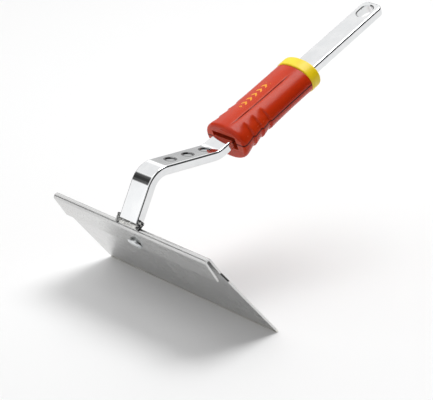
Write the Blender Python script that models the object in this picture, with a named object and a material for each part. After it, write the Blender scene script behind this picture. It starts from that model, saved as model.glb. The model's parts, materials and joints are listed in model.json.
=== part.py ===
"""Draw hoe head for an interchangeable handle: a folded steel blade on a bent, chrome-plated
flat bar, with a split plastic grip and an end ring.  Metres, +Z up, +Y towards the tang.

Every piece is modelled in the tool's own frame, in which the tang runs level along +Y and its
middle plane is Z = -BAR_THICK / 2.  An empty then tilts the tool and stands it on its cutting edge.
"""
import math

import bmesh
import bpy
from mathutils import Matrix, Vector

# ---- flat bar -------------------------------------------------------------------------------
BAR_WIDTH = 0.016
BAR_THICK = 0.006
BAR_EDGE = 0.0009            # rounding along the bar's edges
TANG_END = 0.1560            # from the rear bend to the end of the tang
TANG_CORNER = 0.0040
RISE_ANGLE = math.radians(25.9)
RISE_LENGTH = 0.0510         # rear bend to front bend, along the middle of the bar
LEG_ANGLE = math.radians(40.5)
LEG_LENGTH = 0.0325          # front bend to the back of the blade's folded edge
REAR_BEND_RADIUS = 0.0180
FRONT_BEND_RADIUS = 0.0130
SLOT_WIDTH = 0.0087
SLOT_LENGTH = 0.0120
SLOT_END_MARGIN = 0.0028     # material left between the slot and the end of the tang
DIMPLE_WIDTH = 0.0080
DIMPLE_DEPTH = 0.0005
DIMPLE_PITCH = 0.0139
DIMPLE_COUNT = 3
DIMPLE_START = 0.0058        # from the rear bend to the first dimple's centre

# ---- blade ----------------------------------------------------------------------------------
EDGE_LENGTH = 0.150          # cutting edge
NECK_LENGTH = 0.1440         # blade's width just below the folded edge
FOLD_LENGTH = 0.1352
BLADE_HEIGHT = 0.0779
BLADE_LEAN = math.radians(17.5)
SHEET = 0.0014
BEVEL_HEIGHT = 0.0032
EDGE_THICK = 0.0004
CORNER_CLIP = 0.0012
FOLD_RADIUS = 0.0015         # middle of the sheet
FLANGE_HEIGHT = 0.0179       # from the fold's top to the flange's lower edge
FLANGE_OPENING = 0.0020      # how far the flange leans out at its lower edge
FOLD_SET_BACK = 0.0022       # how far the back layer lies behind the blade's middle plane
JOGGLE_LENGTH = 0.0060
JOGGLE_RADIUS = 0.0080
JOIN_DROP = 0.0006           # bar's middle below the top of the fold

# ---- rivet and weld -------------------------------------------------------------------------
RIVET_HEAD_WIDTH = 0.0096
RIVET_HEAD_HEIGHT = 0.0017
RIVET_SHAFT_WIDTH = 0.0050
RIVET_TAIL_WIDTH = 0.0078
RIVET_TAIL_HEIGHT = 0.0010
RIVET_FROM_TOP = 0.0138
WELD_LEG = 0.0048            # side fillets
WELD_REACH = 0.0026          # bead over the fold

# ---- grip and ring --------------------------------------------------------------------------
GRIP_START = 0.0122
GRIP_END = 0.0767
GRIP_WALL = 0.0024
GRIP_BACK_HALF_WIDTH = 0.0153
GRIP_BACK_HALF_HEIGHT = 0.0097
GRIP_FRONT_HALF_WIDTH = 0.0172
GRIP_FRONT_HALF_HEIGHT = 0.0127
GRIP_FRONT_DROP = 0.0014     # front section's middle below the bar's middle
GRIP_ROUNDNESS = 2.1         # 2 is an ellipse, more is squarer
GRIP_FLARE = 3.2             # 1 flares evenly along the grip, more keeps the flare to its front
SCALLOP_COUNT = 3
SCALLOP_PITCH = 0.0077
SCALLOP_START = 0.0034       # from the grip's front face to the first scallop
SCALLOP_DEPTH = 0.0013
NOSE_ROUND = 0.0024
RIB_THICK = 0.0020
WINDOW_WIDTH = 0.0196
WINDOW_HEIGHT = 0.0094
WINDOW_DEPTH = 0.0030
PEG_WIDTH = 0.0044
PEG_REACH = 0.0025           # how far the peg stands above the bar
BOSS_WALL = 0.0018
RING_LENGTH = 0.0088
RING_HALF_WIDTH = 0.0153
RING_HALF_HEIGHT = 0.0106
RING_ROUND = 0.0022
RING_WALL = 0.0026
NECK_DEPTH = 0.0050          # how far the shells' necks reach into the ring

# ---- assembly -------------------------------------------------------------------------------
HANDLE_TILT = math.radians(23.4)
GAP = 0.0003                 # between pieces that touch
ARC_STEP = math.radians(9.0)
OVAL_SIDES = 40
FOLD_STEPS = 8
MID = -BAR_THICK / 2


# ---- shared helpers -------------------------------------------------------------------------
def clear_scene():
    for obj in list(bpy.data.objects):
        bpy.data.objects.remove(obj, do_unlink=True)


def material(name, colour, roughness, metallic):
    mat = bpy.data.materials.new(name)
    mat.use_nodes = True
    shader = mat.node_tree.nodes["Principled BSDF"]
    shader.inputs["Base Color"].default_value = (*colour, 1.0)
    shader.inputs["Roughness"].default_value = roughness
    shader.inputs["Metallic"].default_value = metallic
    return mat


def make_object(name, bm, parent, mat=None):
    bmesh.ops.recalc_face_normals(bm, faces=bm.faces)
    mesh = bpy.data.meshes.new(name)
    bm.to_mesh(mesh)
    bm.free()
    obj = bpy.data.objects.new(name, mesh)
    bpy.context.collection.objects.link(obj)
    obj.parent = parent
    if mat:
        mesh.materials.append(mat)
        mesh.shade_smooth()
        mesh.set_sharp_from_angle(angle=math.radians(32.0))
    return obj


def make_cutter(name, bm, parent):
    cutter = make_object(name, bm, parent)
    cutter.hide_render = True
    cutter.display_type = "WIRE"
    return cutter


def boolean(obj, cutter, operation="DIFFERENCE"):
    mod = obj.modifiers.new(cutter.name, "BOOLEAN")
    mod.operation = operation
    mod.object = cutter
    mod.solver = "EXACT"


def prism(outline, width):
    """Extrude a closed outline of (y, z) points by width along X, centred on X = 0."""
    bm = bmesh.new()
    face = bm.faces.new([bm.verts.new((-width / 2, y, z)) for y, z in outline])
    moved = bmesh.ops.extrude_face_region(bm, geom=[face])["geom"]
    verts = [v for v in moved if isinstance(v, bmesh.types.BMVert)]
    bmesh.ops.translate(bm, verts=verts, vec=(width, 0.0, 0.0))
    return bm


def box(low, high):
    bm = bmesh.new()
    bmesh.ops.create_cube(bm, size=1.0)
    size = Vector(high) - Vector(low)
    middle = (Vector(high) + Vector(low)) / 2
    bmesh.ops.scale(bm, verts=bm.verts, vec=size)
    bmesh.ops.translate(bm, verts=bm.verts, vec=middle)
    return bm


def cylinder(width, length, centre, axis=(0.0, 0.0, 1.0), sides=24):
    bm = bmesh.new()
    bmesh.ops.create_cone(bm, cap_ends=True, segments=sides, radius1=width / 2,
                          radius2=width / 2, depth=length)
    turn = Vector((0.0, 0.0, 1.0)).rotation_difference(Vector(axis)).to_matrix().to_4x4()
    bmesh.ops.transform(bm, verts=bm.verts, matrix=Matrix.Translation(centre) @ turn)
    return bm


def filleted_path(corners, radii):
    """Points along a polyline whose inner corners are arcs, each with the path's left normal."""
    path = []
    for i, corner in enumerate(corners):
        before = (corner - corners[i - 1]).normalized() if i else None
        after = (corners[i + 1] - corner).normalized() if i + 1 < len(corners) else None
        if before is None or after is None:
            along = after if before is None else before
            path.append((corner, Vector((-along.y, along.x))))
            continue
        turn = before.angle_signed(after)
        radius = radii[i - 1]
        side = -1.0 if turn > 0 else 1.0
        setback = radius * math.tan(abs(turn) / 2)
        first_normal = Vector((-before.y, before.x)) * side
        centre = corner - before * setback + first_normal * radius
        steps = max(2, math.ceil(abs(turn) / ARC_STEP))
        for step in range(steps + 1):
            spoke = Matrix.Rotation(-turn * step / steps, 2) @ -first_normal
            path.append((centre + spoke * radius, -spoke * side))
    return path


def band(path, thick):
    """Closed outline of a strip of even thickness that follows a path."""
    left = [point + normal * thick / 2 for point, normal in path]
    right = [point - normal * thick / 2 for point, normal in path]
    return [tuple(p) for p in left + right[::-1]]


# ---- where things are -----------------------------------------------------------------------
RISE_DIRECTION = Vector((-math.cos(RISE_ANGLE), math.sin(RISE_ANGLE)))
LEG_DIRECTION = Vector((-math.cos(LEG_ANGLE), -math.sin(LEG_ANGLE)))
REAR_BEND = Vector((0.0, MID))
FRONT_BEND = REAR_BEND + RISE_DIRECTION * RISE_LENGTH
LEG_END = FRONT_BEND + LEG_DIRECTION * LEG_LENGTH

GRIP_MIDDLE = (GRIP_START + GRIP_END) / 2

BLADE_UP = Vector((-math.sin(BLADE_LEAN), math.cos(BLADE_LEAN)))
BLADE_FRONT = Vector((-math.cos(BLADE_LEAN), -math.sin(BLADE_LEAN)))
HEM_BACK = -SHEET - FOLD_SET_BACK
EDGE_POINT = LEG_END - BLADE_UP * (BLADE_HEIGHT - JOIN_DROP) - BLADE_FRONT * (HEM_BACK - GAP)


def on_blade(up, front, x=0.0):
    """Tool-frame point from a height above the cutting edge and a distance before its front face."""
    y, z = EDGE_POINT + BLADE_UP * up + BLADE_FRONT * front
    return Vector((x, y, z))


# ---- shank ----------------------------------------------------------------------------------
def dimple_centre(index):
    along = DIMPLE_START + index * DIMPLE_PITCH
    surface = Vector((RISE_DIRECTION.y, -RISE_DIRECTION.x)) * BAR_THICK / 2
    y, z = REAR_BEND + RISE_DIRECTION * along + surface
    return Vector((0.0, y, z))


def make_shank(frame, chrome):
    corners = [Vector((TANG_END, MID)), REAR_BEND, FRONT_BEND, LEG_END + LEG_DIRECTION * BAR_THICK]
    middle_line = filleted_path(corners, [REAR_BEND_RADIUS, FRONT_BEND_RADIUS])
    outline = band(middle_line, BAR_THICK)
    bm = prism(outline, BAR_WIDTH)
    corner_edges = [e for e in bm.edges
                    if all(abs(v.co.y - TANG_END) < 1e-6 for v in e.verts)
                    and abs(e.verts[0].co.x - e.verts[1].co.x) < 1e-6]
    bmesh.ops.bevel(bm, geom=corner_edges, offset=TANG_CORNER, segments=5, profile=0.5,
                    affect="EDGES", material=-1)
    bmesh.ops.recalc_face_normals(bm, faces=bm.faces)
    # trim the leg square to the back of the folded edge
    stop = on_blade(BLADE_HEIGHT, HEM_BACK - GAP)
    normal = Vector((0.0, *BLADE_FRONT))
    cut = bmesh.ops.bisect_plane(bm, geom=bm.verts[:] + bm.edges[:] + bm.faces[:], plane_co=stop,
                                 plane_no=normal, clear_outer=True)
    rim = [g for g in cut["geom_cut"] if isinstance(g, bmesh.types.BMEdge)]
    bmesh.ops.contextual_create(bm, geom=rim)
    shank = make_object("shank", bm, frame, chrome)

    edge = shank.modifiers.new("edge_rounding", "BEVEL")
    edge.width = BAR_EDGE
    edge.segments = 2
    edge.limit_method = "ANGLE"
    edge.angle_limit = math.radians(60.0)

    slot_middle = TANG_END - SLOT_END_MARGIN - SLOT_LENGTH / 2
    slot = cylinder(SLOT_WIDTH, BAR_THICK * 3, (0.0, slot_middle, MID))
    reach = (SLOT_LENGTH - SLOT_WIDTH) / 2
    for vert in slot.verts:
        vert.co.y += reach if vert.co.y > slot_middle else -reach
    boolean(shank, make_cutter("slot_cutter", slot, frame))

    hole = cylinder(PEG_WIDTH + 2 * GAP, BAR_THICK * 3, (0.0, GRIP_MIDDLE, MID), sides=16)
    boolean(shank, make_cutter("peg_hole_cutter", hole, frame))

    rise_up = Vector((0.0, RISE_DIRECTION.y, -RISE_DIRECTION.x))
    for index in range(DIMPLE_COUNT):
        dimple = cylinder(DIMPLE_WIDTH, DIMPLE_DEPTH * 2, dimple_centre(index), rise_up)
        boolean(shank, make_cutter(f"dimple_cutter_{index + 1}", dimple, frame))
    return shank


# ---- blade ----------------------------------------------------------------------------------
FOLD_MIDDLE_UP = BLADE_HEIGHT - SHEET / 2 - FOLD_RADIUS
BACK_LAYER = -SHEET / 2 - FOLD_SET_BACK
FLANGE_LAYER = BACK_LAYER + 2 * FOLD_RADIUS
FLANGE_LOW = BLADE_HEIGHT - FLANGE_HEIGHT
FLANGE_SLOPE = FLANGE_OPENING / (FOLD_MIDDLE_UP - FLANGE_LOW)


def sheet_path():
    """Middle line of the folded sheet as (up, front) pairs, from the cutting edge to the flange."""
    straight_top = FLANGE_LOW - JOGGLE_LENGTH / 2
    corners = [Vector((BEVEL_HEIGHT, -SHEET / 2)), Vector((straight_top, -SHEET / 2)),
               Vector((straight_top + JOGGLE_LENGTH, BACK_LAYER * 0.75)),
               Vector((FOLD_MIDDLE_UP, BACK_LAYER))]
    line = filleted_path(corners, [JOGGLE_RADIUS, JOGGLE_RADIUS])
    fold_centre = Vector((FOLD_MIDDLE_UP, BACK_LAYER + FOLD_RADIUS))
    for step in range(1, FOLD_STEPS):
        angle = math.pi * step / FOLD_STEPS
        spoke = Vector((math.sin(angle), -math.cos(angle)))
        line.append((fold_centre + spoke * FOLD_RADIUS, -spoke))
    lean = Vector((-1.0, FLANGE_SLOPE)).normalized()
    lean_normal = Vector((-lean.y, lean.x))
    line.append((Vector((FOLD_MIDDLE_UP, FLANGE_LAYER)), lean_normal))
    line.append((Vector((FLANGE_LOW, FLANGE_LAYER + FLANGE_OPENING)), lean_normal))
    return line


def blade_half_width(up):
    """Half-width of the sheet at a height: flared below the fold, square along the fold."""
    if up >= FLANGE_LOW + JOGGLE_LENGTH / 3:
        return FOLD_LENGTH / 2
    if up > FLANGE_LOW - JOGGLE_LENGTH / 3:
        share = (FLANGE_LOW + JOGGLE_LENGTH / 3 - up) / (JOGGLE_LENGTH * 2 / 3)
        return (FOLD_LENGTH + (NECK_LENGTH - FOLD_LENGTH) * share) / 2
    share = 1.0 - up / (FLANGE_LOW - JOGGLE_LENGTH / 3)
    return (NECK_LENGTH + (EDGE_LENGTH - NECK_LENGTH) * share) / 2


def make_blade(frame, steel):
    line = sheet_path()
    outer = [point + normal * SHEET / 2 for point, normal in line]
    inner = [point - normal * SHEET / 2 for point, normal in line]
    tip = [Vector((0.0, -SHEET)), Vector((0.0, -SHEET + EDGE_THICK))]
    outline = [tip[1]] + outer + inner[::-1] + [tip[0]]
    bm = bmesh.new()
    half = EDGE_LENGTH
    face = bm.faces.new([bm.verts.new(on_blade(p.x, p.y, -half)) for p in outline])
    moved = bmesh.ops.extrude_face_region(bm, geom=[face])["geom"]
    verts = [v for v in moved if isinstance(v, bmesh.types.BMVert)]
    bmesh.ops.translate(bm, verts=verts, vec=(2 * half, 0.0, 0.0))
    blade = make_object("blade", bm, frame, steel)

    # side outline: everything beyond it is cut away, on the blade and on the fold alike
    step = JOGGLE_LENGTH / 3
    heights = [-0.002, CORNER_CLIP, FLANGE_LOW - step, FLANGE_LOW + step, BLADE_HEIGHT + 0.002]
    reach = 0.012
    for sign, side in ((-1, "left"), (1, "right")):
        rim = [Vector((h, blade_half_width(max(h, 0.0)))) for h in heights]
        rim[0].y -= CORNER_CLIP + 0.002
        rim_out = [(rim[-1].x, EDGE_LENGTH * 1.2), (rim[0].x, EDGE_LENGTH * 1.2)]
        cutter = bmesh.new()
        loop = [(p.x, p.y) for p in rim] + rim_out
        face = cutter.faces.new([cutter.verts.new(on_blade(up, -reach, sign * w)) for up, w in loop])
        moved = bmesh.ops.extrude_face_region(cutter, geom=[face])["geom"]
        verts = [v for v in moved if isinstance(v, bmesh.types.BMVert)]
        bmesh.ops.translate(cutter, verts=verts, vec=Vector((0.0, *BLADE_FRONT)) * 2 * reach)
        boolean(blade, make_cutter(f"blade_{side}_cutter", cutter, frame))

    hole = cylinder(RIVET_SHAFT_WIDTH + 2 * GAP, 0.020, rivet_place(0.0), rivet_axis())
    boolean(blade, make_cutter("rivet_hole_cutter", hole, frame))
    return blade


# ---- rivet ----------------------------------------------------------------------------------
def rivet_axis():
    """Outward normal of the flange."""
    lean = Vector((-1.0, FLANGE_SLOPE)).normalized()
    out = Vector((lean.y, -lean.x))
    y, z = BLADE_UP * out.x + BLADE_FRONT * out.y
    return Vector((0.0, y, z))


def rivet_place(depth):
    """Point on the rivet's axis, depth below the flange's outer face."""
    up = BLADE_HEIGHT - RIVET_FROM_TOP
    front = FLANGE_LAYER + FLANGE_SLOPE * (FOLD_MIDDLE_UP - up) + SHEET / 2
    return on_blade(up, front) - rivet_axis() * depth


def back_layer_depth():
    """Depth below the flange's outer face at which the rivet leaves the back layer."""
    up = BLADE_HEIGHT - RIVET_FROM_TOP
    layers = FLANGE_LAYER + FLANGE_SLOPE * (FOLD_MIDDLE_UP - up) - BACK_LAYER
    return layers + SHEET


def make_rivet(frame, plated):
    head, tail, shaft = RIVET_HEAD_WIDTH / 2, RIVET_TAIL_WIDTH / 2, RIVET_SHAFT_WIDTH / 2
    grip_length = back_layer_depth() + 2 * GAP
    profile = [(0.0, RIVET_HEAD_HEIGHT), (head * 0.45, RIVET_HEAD_HEIGHT * 0.86),
               (head * 0.8, RIVET_HEAD_HEIGHT * 0.5), (head, 0.0), (shaft, 0.0),
               (shaft, -grip_length), (tail, -grip_length),
               (tail * 0.8, -grip_length - RIVET_TAIL_HEIGHT * 0.7),
               (0.0, -grip_length - RIVET_TAIL_HEIGHT)]
    bm = bmesh.new()
    verts = [bm.verts.new((radius, 0.0, height)) for radius, height in profile]
    edges = [bm.edges.new(pair) for pair in zip(verts, verts[1:])]
    bmesh.ops.spin(bm, geom=verts + edges, cent=(0, 0, 0), axis=(0, 0, 1), angle=math.tau, steps=24,
                   use_merge=True)
    bmesh.ops.remove_doubles(bm, verts=bm.verts, dist=1e-6)
    turn = Vector((0.0, 0.0, 1.0)).rotation_difference(rivet_axis()).to_matrix().to_4x4()
    place = Matrix.Translation(rivet_place(-GAP)) @ turn
    bmesh.ops.transform(bm, verts=bm.verts, matrix=place)
    return make_object("rivet", bm, frame, plated)


# ---- weld -----------------------------------------------------------------------------------
def wedge(corners, sweep):
    """Closed solid made by sweeping a triangle."""
    bm = bmesh.new()
    face = bm.faces.new([bm.verts.new(c) for c in corners])
    moved = bmesh.ops.extrude_face_region(bm, geom=[face])["geom"]
    verts = [v for v in moved if isinstance(v, bmesh.types.BMVert)]
    bmesh.ops.translate(bm, verts=verts, vec=sweep)
    return bm


def make_weld(frame, plated):
    """Bead over the fold's top in front of the bar's end, with a fillet on each side of the bar."""
    side = BAR_WIDTH / 2 + GAP
    low = BLADE_HEIGHT + GAP
    front = HEM_BACK + WELD_REACH
    overlap = WELD_LEG / 4
    bead = wedge([on_blade(low, HEM_BACK, -side - overlap),
                  on_blade(low + WELD_REACH, HEM_BACK, -side - overlap),
                  on_blade(low, front, -side - overlap)], (2 * (side + overlap), 0.0, 0.0))
    weld = make_object("weld", bead, frame, plated)
    rear = HEM_BACK - WELD_LEG / 2
    depth = Vector((0.0, *BLADE_FRONT)) * (front - rear)
    for sign, name in ((-1, "left"), (1, "right")):
        fillet = wedge([on_blade(low, rear, sign * side), on_blade(low + WELD_LEG, rear, sign * side),
                        on_blade(low, rear, sign * (side + WELD_LEG))], depth)
        boolean(weld, make_cutter(f"weld_{name}_fillet", fillet, frame), "UNION")
    return weld


# ---- grip shells and ring -------------------------------------------------------------------
def oval(half_width, half_height, middle, y):
    """Ring of points on a rounded oval across the bar."""
    points = []
    for step in range(OVAL_SIDES):
        angle = math.tau * (step + 0.5) / OVAL_SIDES
        across, up = math.cos(angle), math.sin(angle)
        x = math.copysign(abs(across) ** (2 / GRIP_ROUNDNESS), across) * half_width
        z = math.copysign(abs(up) ** (2 / GRIP_ROUNDNESS), up) * half_height
        points.append(Vector((x, y, middle + z)))
    return points


def loft(rings):
    """Closed solid through rings of equally many points."""
    bm = bmesh.new()
    loops = [[bm.verts.new(p) for p in ring] for ring in rings]
    for one, two in zip(loops, loops[1:]):
        for i in range(len(one)):
            j = (i + 1) % len(one)
            bm.faces.new((one[i], one[j], two[j], two[i]))
    bm.faces.new(loops[0][::-1])
    bm.faces.new(loops[-1])
    return bm


def grip_size(y):
    """Half-width, half-height and middle height of the grip's section at y."""
    flare = max(0.0, (GRIP_END - y) / (GRIP_END - GRIP_START)) ** GRIP_FLARE
    half_width = GRIP_BACK_HALF_WIDTH + (GRIP_FRONT_HALF_WIDTH - GRIP_BACK_HALF_WIDTH) * flare
    half_height = GRIP_BACK_HALF_HEIGHT + (GRIP_FRONT_HALF_HEIGHT - GRIP_BACK_HALF_HEIGHT) * flare
    return half_width, half_height, MID - GRIP_FRONT_DROP * flare


def scallop_depth(share):
    """Depth of one scallop at a share of its length: slow from the front, steep at its back."""
    return SCALLOP_DEPTH * (share / 0.85 if share < 0.85 else (1.0 - share) / 0.15)


def scalloped(ring, depth):
    """Press the sides of a section inwards, and leave its top and bottom."""
    width = max(p.x for p in ring)
    for point in ring:
        side = min(1.0, max(0.0, (abs(point.x) / width - 0.45) / 0.3))
        inward = Vector((point.x, 0.0, point.z - MID)).normalized()
        point -= inward * depth * side
    return ring


def grip_skin():
    rings = []
    for share, inset in ((0.0, 1.0), (0.3, 0.3), (1.0, 0.0)):
        y = GRIP_START + NOSE_ROUND * share
        width, height, middle = grip_size(y)
        rings.append(oval(width - NOSE_ROUND * inset, height - NOSE_ROUND * inset, middle, y))
    for index in range(SCALLOP_COUNT):
        for share in (0.0, 0.45, 0.85):
            y = GRIP_START + SCALLOP_START + (index + share) * SCALLOP_PITCH
            rings.append(scalloped(oval(*grip_size(y), y), scallop_depth(share)))
    last = GRIP_START + SCALLOP_START + SCALLOP_COUNT * SCALLOP_PITCH
    for share in (0.0, 0.35, 0.7, 1.0):
        y = last + (GRIP_END - last) * share
        rings.append(oval(*grip_size(y), y))
    rings += [oval(*neck_size(0.0), GRIP_END), oval(*neck_size(0.0), GRIP_END + NECK_DEPTH)]
    return loft(rings)


def neck_size(clearance):
    inset = RING_WALL + GAP - clearance
    return RING_HALF_WIDTH - inset, RING_HALF_HEIGHT - inset, MID


def grip_pocket(start, end):
    rings = []
    for step in range(5):
        y = start + (end - start) * step / 4
        width, height, middle = grip_size(y)
        inset = GRIP_WALL + SCALLOP_DEPTH
        rings.append(oval(width - inset, height - GRIP_WALL, middle, y))
    return loft(rings)


def bar_channel(start, end):
    side = BAR_WIDTH / 2 + GAP
    return box((-side, start, -BAR_THICK - GAP), (side, end, GAP))


def grip_cutters(frame):
    """Cutters that both shells share: three pockets between two ribs, the bar and the window."""
    front, back = GRIP_START + WINDOW_DEPTH + GRIP_WALL, GRIP_END - GRIP_WALL
    third = (back - front) / 3
    cutters = []
    for index in range(3):
        start = front + third * index + (RIB_THICK / 2 if index else 0.0)
        end = front + third * (index + 1) - (RIB_THICK / 2 if index < 2 else 0.0)
        cutters.append(make_cutter(f"grip_pocket_cutter_{index + 1}", grip_pocket(start, end), frame))
    channel = bar_channel(GRIP_START - GRIP_WALL, GRIP_END + RING_LENGTH)
    cutters.append(make_cutter("bar_channel_cutter", channel, frame))
    half = WINDOW_HEIGHT / 2
    window = box((-WINDOW_WIDTH / 2, GRIP_START - GRIP_WALL, MID - half),
                 (WINDOW_WIDTH / 2, GRIP_START + WINDOW_DEPTH, MID + half))
    cutters.append(make_cutter("window_cutter", window, frame))
    return cutters


def half_space(above):
    """Big box above or below the shells' parting plane, half the gap clear of it."""
    reach = GRIP_FRONT_HALF_WIDTH * 2
    edge = MID - GAP / 2 if above else MID + GAP / 2
    low, high = (edge, reach) if above else (-reach, edge)
    return box((-reach, GRIP_START - reach, low), (reach, GRIP_END + reach, high))


def make_grip_upper(frame, plastic, cutters):
    shell = make_object("grip_upper_shell", grip_skin(), frame, plastic)
    for cutter in cutters:
        boolean(shell, cutter)
    boolean(shell, make_cutter("below_cutter", half_space(False), frame))
    ceiling = MID + GRIP_BACK_HALF_HEIGHT - GRIP_WALL / 2
    foot = 2 * GAP
    height = ceiling - foot
    boss_width = PEG_WIDTH + 2 * GAP + 2 * BOSS_WALL
    boss = cylinder(boss_width, height, (0.0, GRIP_MIDDLE, foot + height / 2), sides=20)
    boolean(shell, make_cutter("boss_part", boss, frame), "UNION")
    depth = PEG_REACH + GAP - foot
    socket = cylinder(PEG_WIDTH + 2 * GAP, 2 * depth, (0.0, GRIP_MIDDLE, foot), sides=16)
    boolean(shell, make_cutter("socket_cutter", socket, frame))
    return shell


def make_grip_lower(frame, plastic, cutters):
    shell = make_object("grip_lower_shell", grip_skin(), frame, plastic)
    for cutter in cutters:
        boolean(shell, cutter)
    boolean(shell, make_cutter("above_cutter", half_space(True), frame))
    floor = MID - GRIP_BACK_HALF_HEIGHT + GRIP_WALL / 2
    height = PEG_REACH - floor
    peg = cylinder(PEG_WIDTH, height, (0.0, GRIP_MIDDLE, floor + height / 2), sides=16)
    boolean(shell, make_cutter("peg_part", peg, frame), "UNION")
    return shell


def make_ring(frame, plastic):
    start, end = GRIP_END + GAP, GRIP_END + RING_LENGTH
    rings = []
    front_round = RING_ROUND * 0.35
    sections = [(start, front_round), (start + front_round, 0.0)]
    for step in range(4):
        angle = math.radians(30.0 * step)
        sections.append((end - RING_ROUND * (1 - math.sin(angle)), RING_ROUND * (1 - math.cos(angle))))
    for y, inset in sections:
        rings.append(oval(RING_HALF_WIDTH - inset, RING_HALF_HEIGHT - inset, MID, y))
    ring = make_object("end_ring", loft(rings), frame, plastic)
    seat_ends = (GRIP_END - GAP, GRIP_END + NECK_DEPTH + GAP)
    seat = loft([oval(*neck_size(GAP), y) for y in seat_ends])
    boolean(ring, make_cutter("neck_seat_cutter", seat, frame))
    boolean(ring, make_cutter("ring_bar_cutter", bar_channel(GRIP_END - GAP, end + GAP), frame))
    return ring


# ---- assembly -------------------------------------------------------------------------------
def stand_on_edge(frame, pieces):
    """Move the tilted tool so that its box is centred on the origin and stands on Z = 0."""
    bpy.context.view_layer.update()
    graph = bpy.context.evaluated_depsgraph_get()
    points = []
    for piece in pieces:
        solid = piece.evaluated_get(graph)
        points += [piece.matrix_world @ vert.co for vert in solid.data.vertices]
    low = min(p.z for p in points)
    middle = (min(p.y for p in points) + max(p.y for p in points)) / 2
    frame.location = (0.0, -middle, -low)


def build():
    clear_scene()
    frame = bpy.data.objects.new("tool_frame", None)
    bpy.context.collection.objects.link(frame)
    frame.rotation_euler = (HANDLE_TILT, 0.0, 0.0)

    chrome = material("chrome_plate", (0.80, 0.81, 0.82), 0.12, 1.0)
    steel = material("brushed_steel", (0.55, 0.55, 0.54), 0.38, 1.0)
    weld_metal = material("plated_weld", (0.62, 0.63, 0.64), 0.30, 1.0)
    red = material("red_plastic", (0.62, 0.045, 0.022), 0.28, 0.0)
    yellow = material("yellow_plastic", (0.93, 0.80, 0.03), 0.35, 0.0)

    cutters = grip_cutters(frame)
    pieces = [make_shank(frame, chrome), make_blade(frame, steel), make_rivet(frame, chrome),
              make_weld(frame, weld_metal), make_grip_upper(frame, red, cutters),
              make_grip_lower(frame, red, cutters), make_ring(frame, yellow)]
    stand_on_edge(frame, pieces)


build()
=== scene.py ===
"""Looks of a draw hoe head: a folded steel blade on a bent, chrome-plated flat bar, with a split
plastic grip and an end ring.  Metres.  Pieces are shaped in the tool's own frame, in which the tang
runs level along +Y under Z = 0, and are then put in place."""

import json
import math

import bmesh
import bpy
from bmesh.types import BMEdge, BMFace, BMVert
from mathutils import Matrix, Vector, noise


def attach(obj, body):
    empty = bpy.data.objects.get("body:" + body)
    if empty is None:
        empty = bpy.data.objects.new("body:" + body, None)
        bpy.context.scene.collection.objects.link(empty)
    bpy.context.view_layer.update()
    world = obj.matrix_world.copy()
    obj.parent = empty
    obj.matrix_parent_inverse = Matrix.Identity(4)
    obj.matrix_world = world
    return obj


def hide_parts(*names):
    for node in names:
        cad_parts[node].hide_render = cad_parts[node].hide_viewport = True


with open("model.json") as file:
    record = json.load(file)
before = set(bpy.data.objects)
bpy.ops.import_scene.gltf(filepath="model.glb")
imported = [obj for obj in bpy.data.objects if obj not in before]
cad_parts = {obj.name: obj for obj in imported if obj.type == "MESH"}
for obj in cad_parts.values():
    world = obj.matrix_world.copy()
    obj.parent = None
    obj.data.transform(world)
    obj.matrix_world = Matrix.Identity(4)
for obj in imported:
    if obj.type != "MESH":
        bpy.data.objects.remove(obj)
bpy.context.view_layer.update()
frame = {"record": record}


# ---- Flat bar -------------------------------------------------------------------------------
# One length of 16 by 6 mm flat steel, bent twice, with a hanging slot and rounded corners at the
# tang's end and three round marks pressed into its rise.  Polished and chrome plated.
BAR_WIDTH = 0.016
BAR_THICK = 0.006
BAR_EDGE = 0.0013
TANG_END = 0.156
TANG_CORNER = 0.004
TIP_SHORT = 0.0001
TIP_LOWER = 0.8
RISE_ANGLE = math.radians(25.9)
RISE_LENGTH = 0.051
LEG_ANGLE = math.radians(40.5)
LEG_LENGTH = 0.0325
REAR_BEND_RADIUS = 0.018
FRONT_BEND_RADIUS = 0.013
SLOT_WIDTH = 0.0087
SLOT_LENGTH = 0.012
SLOT_END_MARGIN = 0.0028
RIM_ROUND = 0.0005
DIMPLE_WIDTH = 0.008
DIMPLE_DEPTH = 0.0006
DIMPLE_PITCH = 0.0139
DIMPLE_START = 0.0058  # from the rear bend's corner to the first mark's middle
DIMPLE_COUNT = 3
DIMPLE_RIM_FADE = (0.0007, 0.0002)
BEND_STEPS = 26
TOUCHING = 1e-6  # points closer than this become one
GAP = 0.0003  # clearance between neighbouring pieces
MID = -BAR_THICK / 2  # height of the bar's middle plane along the tang

tang_mount = next(m for m in frame["record"]["mounts"] if m["name"] == "tang_end")
tang_way = Vector(tang_mount["axis"])
TILT = math.atan2(tang_way.z, tang_way.y)
tilted = Matrix.Rotation(TILT, 4, "X")
tool_origin = Vector(tang_mount["pos_m"]) - tilted @ Vector((0.0, TANG_END, MID))
tool_place = Matrix.Translation(tool_origin) @ tilted


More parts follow.
